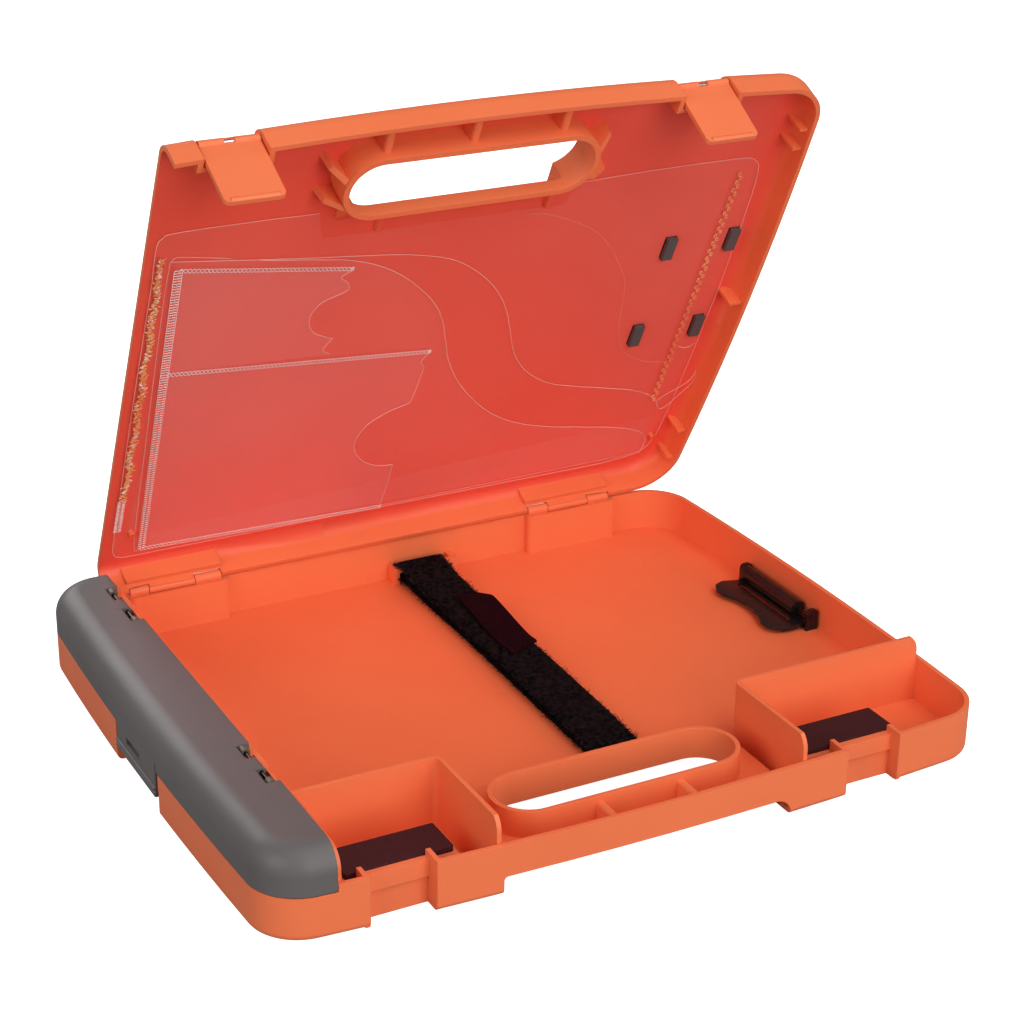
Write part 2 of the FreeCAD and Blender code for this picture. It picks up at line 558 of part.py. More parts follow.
# ---------------------------------------------------------------- paper clip on the right wall
def clip():
    x, z = "clip_pin_x", "clip_pin_z"
    low = "wall + 0.05"
    wall_x = 181.1
    frame = [box("clip_base", (x + " - 0.7", wall_x), ("clip_front", "clip_back"),
                 (low, low + " + clip_plate"))]
    for n, span in enumerate((("clip_front", "clip_front + clip_ear"),
                              ("clip_back - clip_ear", "clip_back"))):
        ear = box("clip_ear_%d" % n, (x + " - 2.4", wall_x), span, (low, "14.2"))
        frame.append(fillet("clip_ear_round_%d" % n, ear,
                            lambda e: 2.6 if level(e, 14.2) and e.BoundBox.YLength > 1 else None))
    pin_hole = rod("clip_pin_hole", "Y", "clip_pin_radius + running_gap", (-30, 90), (x, z))
    holes = [rod("clip_rivet_hole_%d" % n, "Z", "1.25", (1, 8), (x + " + 1.2", y))
             for n, y in enumerate(RIVETS)]
    keep("clip_bracket", less("clip_bracket", fuse("clip_frame", frame), [pin_hole] + holes))
    keep("clip_pin", rod("clip_pin", "Y", "clip_pin_radius",
                         ("clip_front + 0.2", "clip_back - 0.2"), (x, z)))
    rivets = []
    for n, y in enumerate(RIVETS):
        rivets.append(fuse("rivet_%d" % n, [
            rod("rivet_shank_%d" % n, "Z", "1.2", (0.2, 4.4), (x + " + 1.2", y)),
            rod("rivet_head_%d" % n, "Z", "1.8", (low + " + clip_plate + 0.05", 4.7),
                (x + " + 1.2", y))]))
    both = doc.addObject("Part::Compound", "clip_rivets")
    both.Links = rivets
    keep("clip_rivets", both)

    # lever: a cut-out leaf hung from a half-round channel that hides the spring
    lobes = [(170.5, 56), (163, 58.6), (157.6, 56.4), (154.6, 51), (155, 45), (158.4, 38),
             (159.8, 29), (158.2, 17), (155.2, 9), (155.4, 3), (159, -1.6), (164, -3),
             (170, -3.2), (177.8, -2), (177.8, 6), (175.6, 6), (175.6, 56)]
    slot = [(168.4, 52), (168.4, 4), (176.4, 4), (176.4, 6.6), (172.2, 6.6), (172.2, 52)]
    leaf = plate("clip_leaf", lobes, "clip_plate", holes=slot,
                 rounds=lambda e: 2.2 if e.CenterOfMass.x < 172 else None)
    leaf.Placement = Placement(Vector(0, 0, 4.9), Rotation())
    nose = box("lever_nose", (162, 171.5), (-1.6, -0.2), (3.4, 5.2))
    channel = rod("lever_channel", "Y", "clip_channel_radius",
                  ("clip_channel_front", "clip_channel_back"), (x, z))
    whole = fuse("lever_set", [leaf, nose, channel])
    hollow = rod("channel_hollow", "Y", "clip_channel_radius - clip_channel_wall",
                 ("clip_channel_front + 2.4", "clip_channel_back - 2.4"), (x, z))
    mouth = box("channel_mouth", (x + " + 0.4", x + " + 9"),
                ("clip_channel_front - 1", "clip_channel_back + 1"), (0, z + " - 2.2"))
    bore = rod("lever_bore", "Y", "clip_pin_radius + running_gap", (-30, 90), (x, z))
    keep("clip_lever", less("clip_lever", whole, [bore, hollow, mouth]))

    # spring coil around the pin, between the two barrels
    coil = doc.addObject("Part::Helix", "coil_path")
    coil.Pitch, coil.Height, coil.Radius = 1.5, 9, 2.1
    ring = doc.addObject("Part::Circle", "coil_wire")
    ring.Radius = 0.45
    ring.Placement = Placement(Vector(2.1, 0, 0), Rotation(Vector(1, 0, 0), 90))
    sweep = doc.addObject("Part::Sweep", "clip_spring")
    sweep.Sections = [ring]
    sweep.Spine = (coil, [])
    sweep.Solid, sweep.Frenet = True, True
    keep("clip_spring", sweep, Placement(Vector(value(x), 27, value(z)),
                                         Rotation(Vector(1, 0, 0), -90)))


# ---------------------------------------------------------------- inserts
def inserts():
    for side, x in PADS:
        keep("rubber_pad_" + side, plate(
            "rubber_pad_" + side, rect((0, "pad_length"), (0, "pad_width")), "pad_thick",
            rounds=lambda e: 1),
            Placement(Vector(x, PAD_FRONT, value("shelf_top + 0.1")), Rotation()))


SNAPS = ((132.4, -32.5), (170, -32.5), (131.9, 30), (169, 30))


def label_plate():
    body = plate("label_plate_leaf", rect((125, 177), (-42.5, 40)), "plate_thick",
                 rounds=lambda e: 4)
    body.Placement = Placement(Vector(0, 0, value("closed_height - plate_thick")), Rotation())
    hooks = []
    for n, (x, y) in enumerate(SNAPS):
        hooks.append(box("snap_leg_%d" % n, (x - 1.2, x + 1.2), (y - 7, y + 7), (37.2, 41.6)))
        hooks.append(box("snap_head_%d" % n, (x - 2.9, x + 2.9), (y - 7, y + 7), (37.2, 39.6)))
    keep("label_plate", fuse("label_plate", [body] + hooks), LID_TURN)


def films():
    """Clear sheets welded in layers under the lid's panel; each layer sits a little lower."""
    around = [rect((x - 4.6, x + 4.6), (y - 8.6, y + 8.6)) for x, y in SNAPS]
    peg = [rect((x - 2.4, x + 2.4), (y - 2.4, y + 2.4)) for x, y in ((-136, 115), (168, 117))]
    sheets = (
        ("pocket_back_film", 0, [(-147, -90), (-66, -90), (-66, -74.5), (60, -74.5), (60, -87),
                                 (174.4, -84), (174.4, 130), (-147, 130)],
         around + peg, lambda e: 12 if abs(e.CenterOfMass.x) > 100 else 3),
        ("pocket_front_film", 1, [(-146, -75), (-104, -71), (-48, -64), (-19, -52), (9, -22),
                                  (57, 38), (99, 64), (155, 83), (165, 105), (161, 129),
                                  (-146, 129)], [peg[0]],
         lambda e: 14 if e.CenterOfMass.y < 80 and e.CenterOfMass.x > -60 else 3),
        ("pocket_flap_film", 2, [(-126, -63), (-46, -55), (-21, -47), (3, -23), (24, 23),
                                 (77, 72), (157, 111), (150, 123), (-126, 123)], None,
         lambda e: 14 if e.CenterOfMass.y < 80 and e.CenterOfMass.x > -40 else 3),
        ("pocket_small_upper", 3, [(-134, -67), (-48, -55), (-50, -37), (-64, -35), (-66, -25),
                                   (-58, -15), (-46, -12), (-40, 1), (-131, -6)], None,
         lambda e: 3),
        ("pocket_small_lower", 3, [(-131, -3), (8, 11), (-4, 39), (-24, 45), (-28, 59), (-20, 79),
                                   (0, 87), (3, 123), (-129, 119)], None, lambda e: 3),
    )
    for node, layer, outline, holes, rounds in sheets:
        height = "film_level - %d * film_step" % layer
        keep(node, plate(node, outline, "film_thick", holes=holes, rounds=rounds),
             LID_TURN.multiply(Placement(Vector(0, 0, value(height)), Rotation())))


base_tray()
lid()
end_door()
latch_parts()
strap()
clip()
inserts()
label_plate()
films()
doc.recompute()

os.makedirs("parts", exist_ok=True)
for obj in doc.Objects:
    for flag in ("Invalid", "Error"):
        assert flag not in obj.State, "%s is %s" % (obj.Name, obj.State)
for node, obj in FINAL.items():
    shape = obj.Shape
    assert not shape.isNull() and shape.isValid(), node + " has a bad shape"
    assert shape.Volume > 1, node + " is empty"
    print("%-20s solids %d volume %.1f  z %.2f..%.2f" % (
        node, len(shape.Solids), shape.Volume, shape.BoundBox.ZMin, shape.BoundBox.ZMax))
    shape.exportStep("parts/%s.step" % node)
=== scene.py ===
import json
import math

import bpy
import numpy as np
from mathutils import Matrix, Vector


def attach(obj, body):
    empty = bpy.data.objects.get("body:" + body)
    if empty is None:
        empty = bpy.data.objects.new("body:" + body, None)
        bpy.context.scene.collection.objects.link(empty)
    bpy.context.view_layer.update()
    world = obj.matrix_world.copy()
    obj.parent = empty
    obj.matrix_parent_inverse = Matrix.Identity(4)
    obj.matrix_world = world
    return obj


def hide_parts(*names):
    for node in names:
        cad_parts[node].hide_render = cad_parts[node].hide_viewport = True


# Looks of the flat carry case: plastics, pile strap, clear pockets and their welds.
# Lengths in the tables below are millimetres in the CAD's own frame; MM turns them to metres.
# What rides on the lid is laid out as if the lid were shut, and LID then turns it open.

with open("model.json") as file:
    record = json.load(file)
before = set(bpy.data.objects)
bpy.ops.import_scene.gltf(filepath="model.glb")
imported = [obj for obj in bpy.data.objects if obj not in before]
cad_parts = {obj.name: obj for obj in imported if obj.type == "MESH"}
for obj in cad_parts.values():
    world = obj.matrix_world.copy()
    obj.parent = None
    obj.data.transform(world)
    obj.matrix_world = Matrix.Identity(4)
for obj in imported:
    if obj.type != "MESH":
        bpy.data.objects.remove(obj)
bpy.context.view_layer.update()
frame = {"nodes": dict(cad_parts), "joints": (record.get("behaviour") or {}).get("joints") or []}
nodes = frame["nodes"]
MM = 0.001
LID_OPEN_ANGLE = 63      # degrees from shut, as the CAD leaves it
rng = np.random.default_rng(11)

hinge = next(j for j in frame["joints"] if j["name"] == "lid_hinge")
pivot = Vector(hinge["pos_m"])
LID = (Matrix.Translation(pivot) @ Matrix.Rotation(-math.radians(LID_OPEN_ANGLE), 4, "X")
       @ Matrix.Translation(-pivot))


# ---------------------------------------------------------------- materials
class Shader:
    """A node material with short helpers for wiring it."""

    def __init__(self, name):
        self.material = bpy.data.materials.new(name)
        self.material.use_nodes = True
        self.tree = self.material.node_tree
        self.surface = self.tree.nodes["Principled BSDF"]
        self.output = self.tree.nodes["Material Output"]

    def add(self, kind, **settings):
        made = self.tree.nodes.new("ShaderNode" + kind)
        for key, value in settings.items():
            if key in made.inputs:
                made.inputs[key].default_value = value
            else:
                setattr(made, key, value)
        return made

    def link(self, source, target):
        self.tree.links.new(source, target)

    def noise(self, scale, detail=2.0, coordinates="Object"):
        where = self.add("TexCoord")
        noise = self.add("TexNoise")
        noise.inputs["Scale"].default_value = scale
        noise.inputs["Detail"].default_value = detail
        self.link(where.outputs[coordinates], noise.inputs["Vector"])
        return noise

    def ramp(self, source, low, high, start=0.35, end=0.65):
        ramp = self.add("ValToRGB")
        ramp.color_ramp.elements[0].position = start
        ramp.color_ramp.elements[1].position = end
        ramp.color_ramp.elements[0].color = (*low, 1)
        ramp.color_ramp.elements[1].color = (*high, 1)
        self.link(source, ramp.inputs["Fac"])
        return ramp

    def spread(self, source, low, high):
        """Map 0..1 to low..high."""
        mapped = self.add("MapRange")
        mapped.inputs["To Min"].default_value = low
        mapped.inputs["To Max"].default_value = high
        self.link(source, mapped.inputs["Value"])
        return mapped

    def bumped(self, source, strength, distance, below=None):
        bump = self.add("Bump")
        bump.inputs["Strength"].default_value = strength
        bump.inputs["Distance"].default_value = distance
        self.link(source, bump.inputs["Height"])
        if below is not None:
            self.link(below, bump.inputs["Normal"])
        return bump


# colour sockets of a Mix node, which carries one set of sockets for each kind of data
MIX_FIRST, MIX_SECOND, MIX_RESULT = 6, 7, 2


def shifted(s, colour, direction, stops, facing):
    """A colour multiplied by another that depends on place, and on facing when it is given."""
    tint = s.add("Mix", data_type="RGBA", blend_type="MULTIPLY")
    tint.inputs["Factor"].default_value = 1
    s.link(colour, tint.inputs[MIX_FIRST])
    s.link(along(s, direction, stops).outputs["Color"], tint.inputs[MIX_SECOND])
    if facing:
        where = s.add("TexCoord")
        turned = s.add("VectorMath", operation="DOT_PRODUCT")
        turned.inputs[1].default_value = facing
        s.link(where.outputs["Normal"], turned.inputs[0])
        s.link(s.spread(turned.outputs["Value"], 0.0, 1.0).outputs["Result"],
               tint.inputs["Factor"])
    return tint.outputs[MIX_RESULT]


def moulded_plastic(name, light, dark, rough, grain, edge=0.5, coat=0.0, shift=None):
    """Satin injection-moulded plastic: faint mottling, fine grain, softened edges."""
    s = Shader(name)
    mottle = s.noise(14, 3)
    colour = s.ramp(mottle.outputs["Fac"], dark, light).outputs["Color"]
    s.link(shifted(s, colour, *shift) if shift else colour, s.surface.inputs["Base Color"])
    wear = s.noise(60, 4)
    s.link(s.spread(wear.outputs["Fac"], rough - 0.05, rough + 0.07).outputs["Result"],
           s.surface.inputs["Roughness"])
    soft = s.add("Bevel", samples=4)
    soft.inputs["Radius"].default_value = edge * MM
    fine = s.noise(1500, 2)
    bump = s.bumped(fine.outputs["Fac"], grain, 0.06 * MM, soft.outputs["Normal"])
    s.link(bump.outputs["Normal"], s.surface.inputs["Normal"])
    s.surface.inputs["Coat Weight"].default_value = coat
    s.surface.inputs["Coat Roughness"].default_value = 0.2
    s.surface.inputs["Specular IOR Level"].default_value = 0.35
    return s.material


def along(s, direction, stops):
    """Colour by how far a point of the object lies along a direction, given in mm."""
    where = s.add("TexCoord")
    reach = s.add("VectorMath", operation="DOT_PRODUCT")
    reach.inputs[1].default_value = direction
    s.link(where.outputs["Object"], reach.inputs[0])
    low, high = stops[0][0], stops[-1][0]
    scaled = s.add("MapRange")
    scaled.inputs["From Min"].default_value = low * MM
    scaled.inputs["From Max"].default_value = high * MM
    s.link(reach.outputs["Value"], scaled.inputs["Value"])
    ramp = s.add("ValToRGB")
    while len(ramp.color_ramp.elements) < len(stops):
        ramp.color_ramp.elements.new(0.5)
    # every element is placed before any is coloured, because placing one may reorder them
    for element, (place, _) in zip(ramp.color_ramp.elements, stops):
        element.position = (place - low) / (high - low)
    for element, (_, colour) in zip(ramp.color_ramp.elements, stops):
        element.color = (*colour, 1)
    s.link(scaled.outputs["Result"], ramp.inputs["Fac"])
    return ramp


def drawn_steel(name, tint):
    s = Shader(name)
    lines = s.noise(700, 1)
    s.link(s.ramp(lines.outputs["Fac"], [c * 0.8 for c in tint], tint).outputs["Color"],
           s.surface.inputs["Base Color"])
    s.link(s.spread(lines.outputs["Fac"], 0.18, 0.4).outputs["Result"],
           s.surface.inputs["Roughness"])
    s.surface.inputs["Metallic"].default_value = 1
    return s.material


def woven(name, light, dark, scale, depth, sheen):
    """Black textile: broken loops of pile or close smooth weave."""
    s = Shader(name)
    where = s.add("TexCoord")
    cells = s.add("TexVoronoi")
    cells.inputs["Scale"].default_value = scale
    s.link(where.outputs["Object"], cells.inputs["Vector"])
    lint = s.noise(scale * 0.35, 4)
    s.link(s.ramp(lint.outputs["Fac"], dark, light).outputs["Color"],
           s.surface.inputs["Base Color"])
    bump = s.bumped(cells.outputs["Distance"], 0.9, depth * MM)
    rough = s.bumped(lint.outputs["Fac"], 0.6, depth * MM, bump.outputs["Normal"])
    s.link(rough.outputs["Normal"], s.surface.inputs["Normal"])
    s.surface.inputs["Roughness"].default_value = 0.95
    s.surface.inputs["Specular IOR Level"].default_value = 0.04
    s.surface.inputs["Sheen Weight"].default_value = sheen
    s.surface.inputs["Sheen Roughness"].default_value = 0.5
    return s.material


def clear_vinyl(name, haze, tint, rough=0.25):
    """Clear film: light passes, with a thin milky veil that varies a little."""
    s = Shader(name)
    s.surface.inputs["Base Color"].default_value = (*tint, 1)
    s.surface.inputs["Roughness"].default_value = rough
    s.surface.inputs["Specular IOR Level"].default_value = 0.6
    cloud = s.noise(18, 3)
    ripple = s.noise(11, 1)
    bump = s.bumped(ripple.outputs["Fac"], 0.15, 1.5 * MM)
    s.link(bump.outputs["Normal"], s.surface.inputs["Normal"])
    s.link(s.spread(cloud.outputs["Fac"], haze * 0.6, haze * 1.4).outputs["Result"],
           s.surface.inputs["Alpha"])
    return s.material


def pad_rubber(name):
    s = Shader(name)
    speckle = s.noise(900, 3)
    # the dark red of the rubber is partly its own colour and partly painted reflection of the
    # orange tray round the pads
    s.link(s.ramp(speckle.outputs["Fac"], (0.040, 0.007, 0.009), (0.055, 0.010, 0.013)
                  ).outputs["Color"], s.surface.inputs["Base Color"])
    soft = s.add("Bevel", samples=4)
    soft.inputs["Radius"].default_value = 0.6 * MM
    bump = s.bumped(speckle.outputs["Fac"], 0.35, 0.08 * MM, soft.outputs["Normal"])
    s.link(bump.outputs["Normal"], s.surface.inputs["Normal"])
    s.surface.inputs["Roughness"].default_value = 0.62
    s.surface.inputs["Specular IOR Level"].default_value = 0.2
    return s.material


# light and dark of the mottling; then the colours that multiply it in places, the second of them
# painted shade
ORANGE = ((0.90, 0.200, 0.075), (0.88, 0.185, 0.068))
PLAIN, PAINTED_SHADE, SOOT = (1, 1, 1), (0.97, 0.50, 0.82), (0.14, 0.55, 1.0)
orange = moulded_plastic("orange_shell", *ORANGE, 0.42, 0.10)
# the end door's hinge ears stand above everything else of the tray and are grey
orange_tray = moulded_plastic("orange_tray", *ORANGE, 0.42, 0.10, shift=(
    (0, 0, 1), ((38.0, PLAIN), (38.9, PLAIN), (39.1, SOOT), (45.0, SOOT)), None))
# painted shade: the lid's plastic is coloured deeper red on its inner face, down between the ribs,
# where shade falls
normal = LID.to_3x3() @ Vector((0, 0, 1))
base = (LID @ Vector((0, 0, 0))).dot(normal) / MM
lid_shade_stops = ((24, PLAIN), (29, PLAIN), (37.5, PAINTED_SHADE), (40.5, PAINTED_SHADE), (41.4, PLAIN), (43, PLAIN))
orange_lid = moulded_plastic("orange_lid", *ORANGE, 0.42, 0.10, shift=(
    normal, tuple((base + z, colour) for z, colour in lid_shade_stops), -normal))
grey = moulded_plastic("grey_shell", (0.135, 0.122, 0.122), (0.122, 0.110, 0.110), 0.45, 0.12)
grey_gloss = moulded_plastic("grey_plate", (0.10, 0.09, 0.092), (0.085, 0.076, 0.078), 0.3, 0.08)
black = moulded_plastic("black_plastic", (0.012, 0.010, 0.011), (0.007, 0.006, 0.007), 0.26,
                        0.05, edge=0.35, coat=0.25)
steel = drawn_steel("pin_steel", (0.72, 0.72, 0.74))
dark_steel = drawn_steel("black_steel", (0.06, 0.06, 0.06))
spring = drawn_steel("spring_steel", (0.5, 0.5, 0.52))
pile = woven("black_pile", (0.016, 0.011, 0.013), (0.0006, 0.0003, 0.0004), 1300, 0.8, 0.0)
hook_back = woven("hook_tape", (0.018, 0.003, 0.006), (0.008, 0.001, 0.002), 2400, 0.10, 0.0)
fibre = woven("pile_fibre", (0.045, 0.030, 0.036), (0.001, 0.0005, 0.0006), 900, 0.02, 0.0)
rubber = pad_rubber("pad_rubber")
film = clear_vinyl("clear_film", 0.018, (0.95, 0.80, 0.80))
film_hazy = clear_vinyl("pocket_film", 0.032, (0.92, 0.80, 0.84))
film_edge = clear_vinyl("film_edge", 0.55, (1.0, 0.66, 0.58), 0.15)
weld = clear_vinyl("weld_mark", 0.75, (1.0, 0.90, 0.87), 0.2)
melted = moulded_plastic("melted_weld", (0.98, 0.50, 0.20), (0.95, 0.26, 0.09), 0.2, 0.2)

LOOKS = {"lid": orange_lid, "base_tray": orange_tray, "end_door": grey,
         "label_plate": grey_gloss, "clip_bracket": black, "clip_lever": black,
         "clip_spring": spring, "rubber_pad_left": rubber, "rubber_pad_right": rubber}
for name, obj in nodes.items():
    look = LOOKS.get(name, orange)
    if "_pin" in name or "rivet" in name:
        # the clip's and the door's are blackened; the lid's and the latches' are bare
        look = dark_steel if name.startswith(("clip", "door")) else steel
    obj.data.materials.clear()
    obj.data.materials.append(look)


# ---------------------------------------------------------------- shape helpers
def mesh_object(name, verts, faces, look, smooth=True):
    mesh = bpy.data.meshes.new(name)
    mesh.from_pydata([tuple(v) for v in verts], [], faces)
    mesh.update()
    if smooth:
        mesh.polygons.foreach_set("use_smooth", [True] * len(mesh.polygons))
    mesh.materials.append(look)
    obj = bpy.data.objects.new(name, mesh)
    bpy.context.scene.collection.objects.link(obj)
    return obj


def on_lid(obj):
    obj.data.transform(LID)
    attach(obj, "lid")
    return obj


def curve_through(points, closed=False, per=8):
    """Smooth run through points; a point given as (x, y, "corner") is kept sharp."""
    spots = [np.array(p[:2], float) for p in points]
    sharp = [len(p) > 2 for p in points]
    count = len(spots)
    out = []
    for i in range(count if closed else count - 1):
        a, b = spots[i], spots[(i + 1) % count]
        before = a - (b - a) if sharp[i] or (not closed and i == 0) else spots[i - 1]
        last = not closed and i == count - 2
        after = b + (b - a) if sharp[(i + 1) % count] or last else spots[(i + 2) % count]
        straight = sharp[i] and sharp[(i + 1) % count]
        for t in ([0.0] if straight else np.linspace(0, 1, per, endpoint=False)):
            out.append(0.5 * (2 * a + (b - before) * t
                              + (2 * before - 5 * a + 4 * b - after) * t ** 2
                              + (3 * a - before - 3 * b + after) * t ** 3))
    if not closed:
        out.append(spots[-1])
    return np.array(out)


def flat_sheet(name, outline, z, thick, look, holes=()):
    """Thin sheet from a flat outline with holes, in millimetres."""
    curve = bpy.data.curves.new(name, "CURVE")
    curve.dimensions, curve.fill_mode = "2D", "BOTH"
    curve.extrude = thick * MM / 2
    for loop in (outline, *holes):
        spline = curve.splines.new("POLY")
        spline.points.add(len(loop) - 1)
        for point, (x, y) in zip(spline.points, loop):
            point.co = (x * MM, y * MM, 0, 1)
        spline.use_cyclic_u = True
    maker = bpy.data.objects.new(name + "_maker", curve)
    bpy.context.scene.collection.objects.link(maker)
    bpy.context.view_layer.update()
    mesh = bpy.data.meshes.new_from_object(maker)
    bpy.data.objects.remove(maker)
    mesh.name = name
    mesh.transform(Matrix.Translation((0, 0, z * MM)))
    mesh.materials.clear()
    mesh.materials.append(look)
    obj = bpy.data.objects.new(name, mesh)
    bpy.context.scene.collection.objects.link(obj)
    return obj


def sweep(points, radius, closed=False, sides=5):
    """Vertices and faces of a thin tube along 3-D points, in millimetres."""
    points = np.asarray(points, float)
    count = len(points)
    if closed:
        ahead = np.roll(points, -1, 0) - np.roll(points, 1, 0)
    else:
        ahead = np.gradient(points, axis=0)
    ahead /= np.maximum(np.linalg.norm(ahead, axis=1, keepdims=True), 1e-9)
    side = np.cross(ahead, (0.0, 0.0, 1.0))
    flat = np.linalg.norm(side, axis=1) < 1e-3
    side[flat] = (1.0, 0.0, 0.0)
    side /= np.linalg.norm(side, axis=1, keepdims=True)
    up = np.cross(side, ahead)
    angles = np.arange(sides) * 2 * math.pi / sides
    around = (np.cos(angles)[None, :, None] * side[:, None]
              + np.sin(angles)[None, :, None] * up[:, None]) * radius
    verts = (points[:, None] + around).reshape(-1, 3) * MM
    faces = []
    for i in range(count if closed else count - 1):
        j = (i + 1) % count
        for k in range(sides):
            m = (k + 1) % sides
            faces.append((i * sides + k, i * sides + m, j * sides + m, j * sides + k))
    if not closed:
        faces.append(tuple(range(sides))[::-1])
        faces.append(tuple((count - 1) * sides + k for k in range(sides)))
    return verts, faces


class Batch:
    """Many small shapes gathered into one mesh."""

    def __init__(self):
        self.verts, self.faces, self.count = [], [], 0

    def add(self, verts, faces):
        self.faces += [tuple(i + self.count for i in face) for face in faces]
        self.verts.append(np.asarray(verts))
        self.count += len(verts)

    def object(self, name, look):
        return mesh_object(name, np.vstack(self.verts), self.faces, look)


# ---------------------------------------------------------------- clear pockets in the lid
FILM_TOP = 38.35         # height of the back film's middle with the lid shut
FILM_STEP = 0.5          # from one sheet's middle to the next one down
FILM_THICK = 0.2
SNAP_HOLE = (4.8, 8.8)   # half sizes of the holes for the label plate's hooks
PEG_HOLE = (2.6, 2.6)
PEGS = ((-136, 115), (168, 117))
SNAPS = ((132.4, -32.5), (170, -32.5), (131.9, 30), (169, 30))


def hole(x, y, half_x, half_y):
    return curve_through([(x - half_x, y - half_y, "corner"), (x + half_x, y - half_y, "corner"),
                          (x + half_x, y + half_y, "corner"), (x - half_x, y + half_y, "corner")],
                         closed=True)


BACK = [(-145, 126, "corner"), (-146, 20), (-146, -60, "corner"), (-146.5, -83), (-144, -89),
        (-138, -91), (-99, -91.5), (-70, -91, "corner"), (-66, -75, "corner"),
        (60, -75, "corner"), (64, -88, "corner"), (100, -89.5), (134, -89.8), (158, -89.5),
        (165, -87), (169, -81), (171.5, -60), (174, 0, "corner"), (173.5, 60), (172, 100),
        (169, 122), (160, 130), (140, 133, "corner"), (-138, 133, "corner"), (-143, 131)]
S_UPPER = [(-139, -74), (-112, -70), (-78, -65), (-44, -60.5), (-26, -58), (-8, -54), (8, -48),
           (23, -37), (36, -23), (45, -8), (51, 7), (56, 21), (62, 33), (72, 45), (86, 55),
           (102, 61), (122, 67), (141, 73), (153, 79), (161, 86)]
S_LOWER = [(-95, -67.5), (-66, -62.5), (-49, -59), (-34, -53), (-20, -44), (-7, -32), (3, -20),
           (10, -7), (15, 8), (20, 23), (29, 40), (41, 56), (56, 71), (73, 82), (93, 90),
           (116, 96), (139, 102), (153, 107.5), (161, 113), (164, 120), (163, 129)]
# a faint curved line seen through the films; drawn as a line only, with no sheet of its own
S_FAINT = [(40, -72), (53, -70), (77, -58), (92, -45), (104, -28), (112, -13), (116, 7),
           (119, 24), (127, 40), (140, 50), (157, 55)]
UPPER_NOTCH = [(-47, -53, "corner"), (-52, -49), (-48, -45, "corner"), (-47, -40), (-53, -37),
               (-60, -33.5), (-64, -25), (-61, -15), (-52, -9), (-49, -8, "corner"),
               (-53, -1), (-49, 3, "corner")]
LOWER_NOTCH = [(7, 14, "corner"), (4, 20), (6.5, 24, "corner"), (5.5, 40), (4, 50, "corner"),
               (-7, 54), (-17, 61), (-22, 72), (-20, 82), (-13, 91), (-4, 96),
               (4, 97, "corner"), (4, 112), (3, 131, "corner")]


def film_sheets():
    """Five clear sheets in four layers; each takes the place of its plain stand-in."""
    holes = [hole(*spot, *SNAP_HOLE) for spot in SNAPS]
    pegs = [hole(*spot, *PEG_HOLE) for spot in PEGS]
    front = list(curve_through(S_UPPER)) + [(164, 100), (162, 128), (-134, 129), (-137, 60)]
    flap = [(-136, -73)] + list(curve_through([(-136, -73), (-110, -69.8)] + S_LOWER)) \
        + [(-131.5, 127.5)]
    upper = [(-134.5, -70)] + list(curve_through(UPPER_NOTCH)) + [(-131.5, -1.6)]
    lower = [(-131.5, -0.8)] + list(curve_through(LOWER_NOTCH)) + [(-129, 126)]
    sheets = (("pocket_back_sheet", curve_through(BACK, closed=True), 0, film, holes + pegs,
               "pocket_back_film"),
              ("pocket_front_sheet", front, 1.0, film, pegs[:1], "pocket_front_film"),
              ("pocket_flap_sheet", flap, 2.0, film, (), "pocket_flap_film"),
              ("pocket_upper_sheet", upper, 3.0, film_hazy, (), "pocket_small_upper"),
              ("pocket_lower_sheet", lower, 3.0, film_hazy, (), "pocket_small_lower"))
    for name, outline, layer, look, gaps, stands_for in sheets:
        sheet = flat_sheet(name, outline, FILM_TOP - layer * FILM_STEP, FILM_THICK, look, gaps)
        on_lid(sheet)
        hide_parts(stands_for)


def film_edges():
    """Cut edges of the sheets catch the light as thin bright lines."""
    # outline, layer, thickness of the line, closed
    lines = ((BACK, 0, 0.16, True), (S_UPPER, 1, 0.20, False), (S_LOWER, 2, 0.20, False),
             (S_FAINT, 0.5, 0.06, False), (UPPER_NOTCH, 3, 0.17, False),
             (LOWER_NOTCH, 3, 0.17, False),
             ([(-139, -74), (-139, -40), (-135, 100), (-133.5, 129)], 1, 0.16, False),
             ([(-139, -74), (-137, -76), (-133, -76), (-110, -71)], 1, 0.16, False),
             ([(-133.5, 129, "corner"), (20, 131, "corner"), (163, 129, "corner")], 1, 0.12,
              False))
    batch = Batch()
    for points, layer, radius, closed in lines:
        run = curve_through(points, closed)
        if points is BACK:
            # no line is drawn round the notch at the hand slot's ring
            hidden = (run[:, 0] > -68) & (run[:, 0] < 62) & (run[:, 1] < 0)
            start, count = int(np.argmax(hidden)), int(hidden.sum())
            run, closed = np.roll(run, -start - count, 0)[:-count], False
        z = FILM_TOP - layer * FILM_STEP - 0.12
        wobble = 0.048 * np.sin(np.arange(len(run)) * 0.9 + layer)
        batch.add(*sweep(np.column_stack([run, z + wobble]), radius, closed, 4))
    on_lid(batch.object("film_cut_edges", film_edge))


def ring(x, y, z, wide, tall, wire):
    """Small eight-sided loop of wire lying flat."""
    angles = np.arange(8) * math.pi / 4 + math.pi / 8
    loop = np.column_stack([x + wide * np.cos(angles), y + tall * np.sin(angles),
                            np.full(8, z)])
    return sweep(loop, wire, closed=True, sides=4)


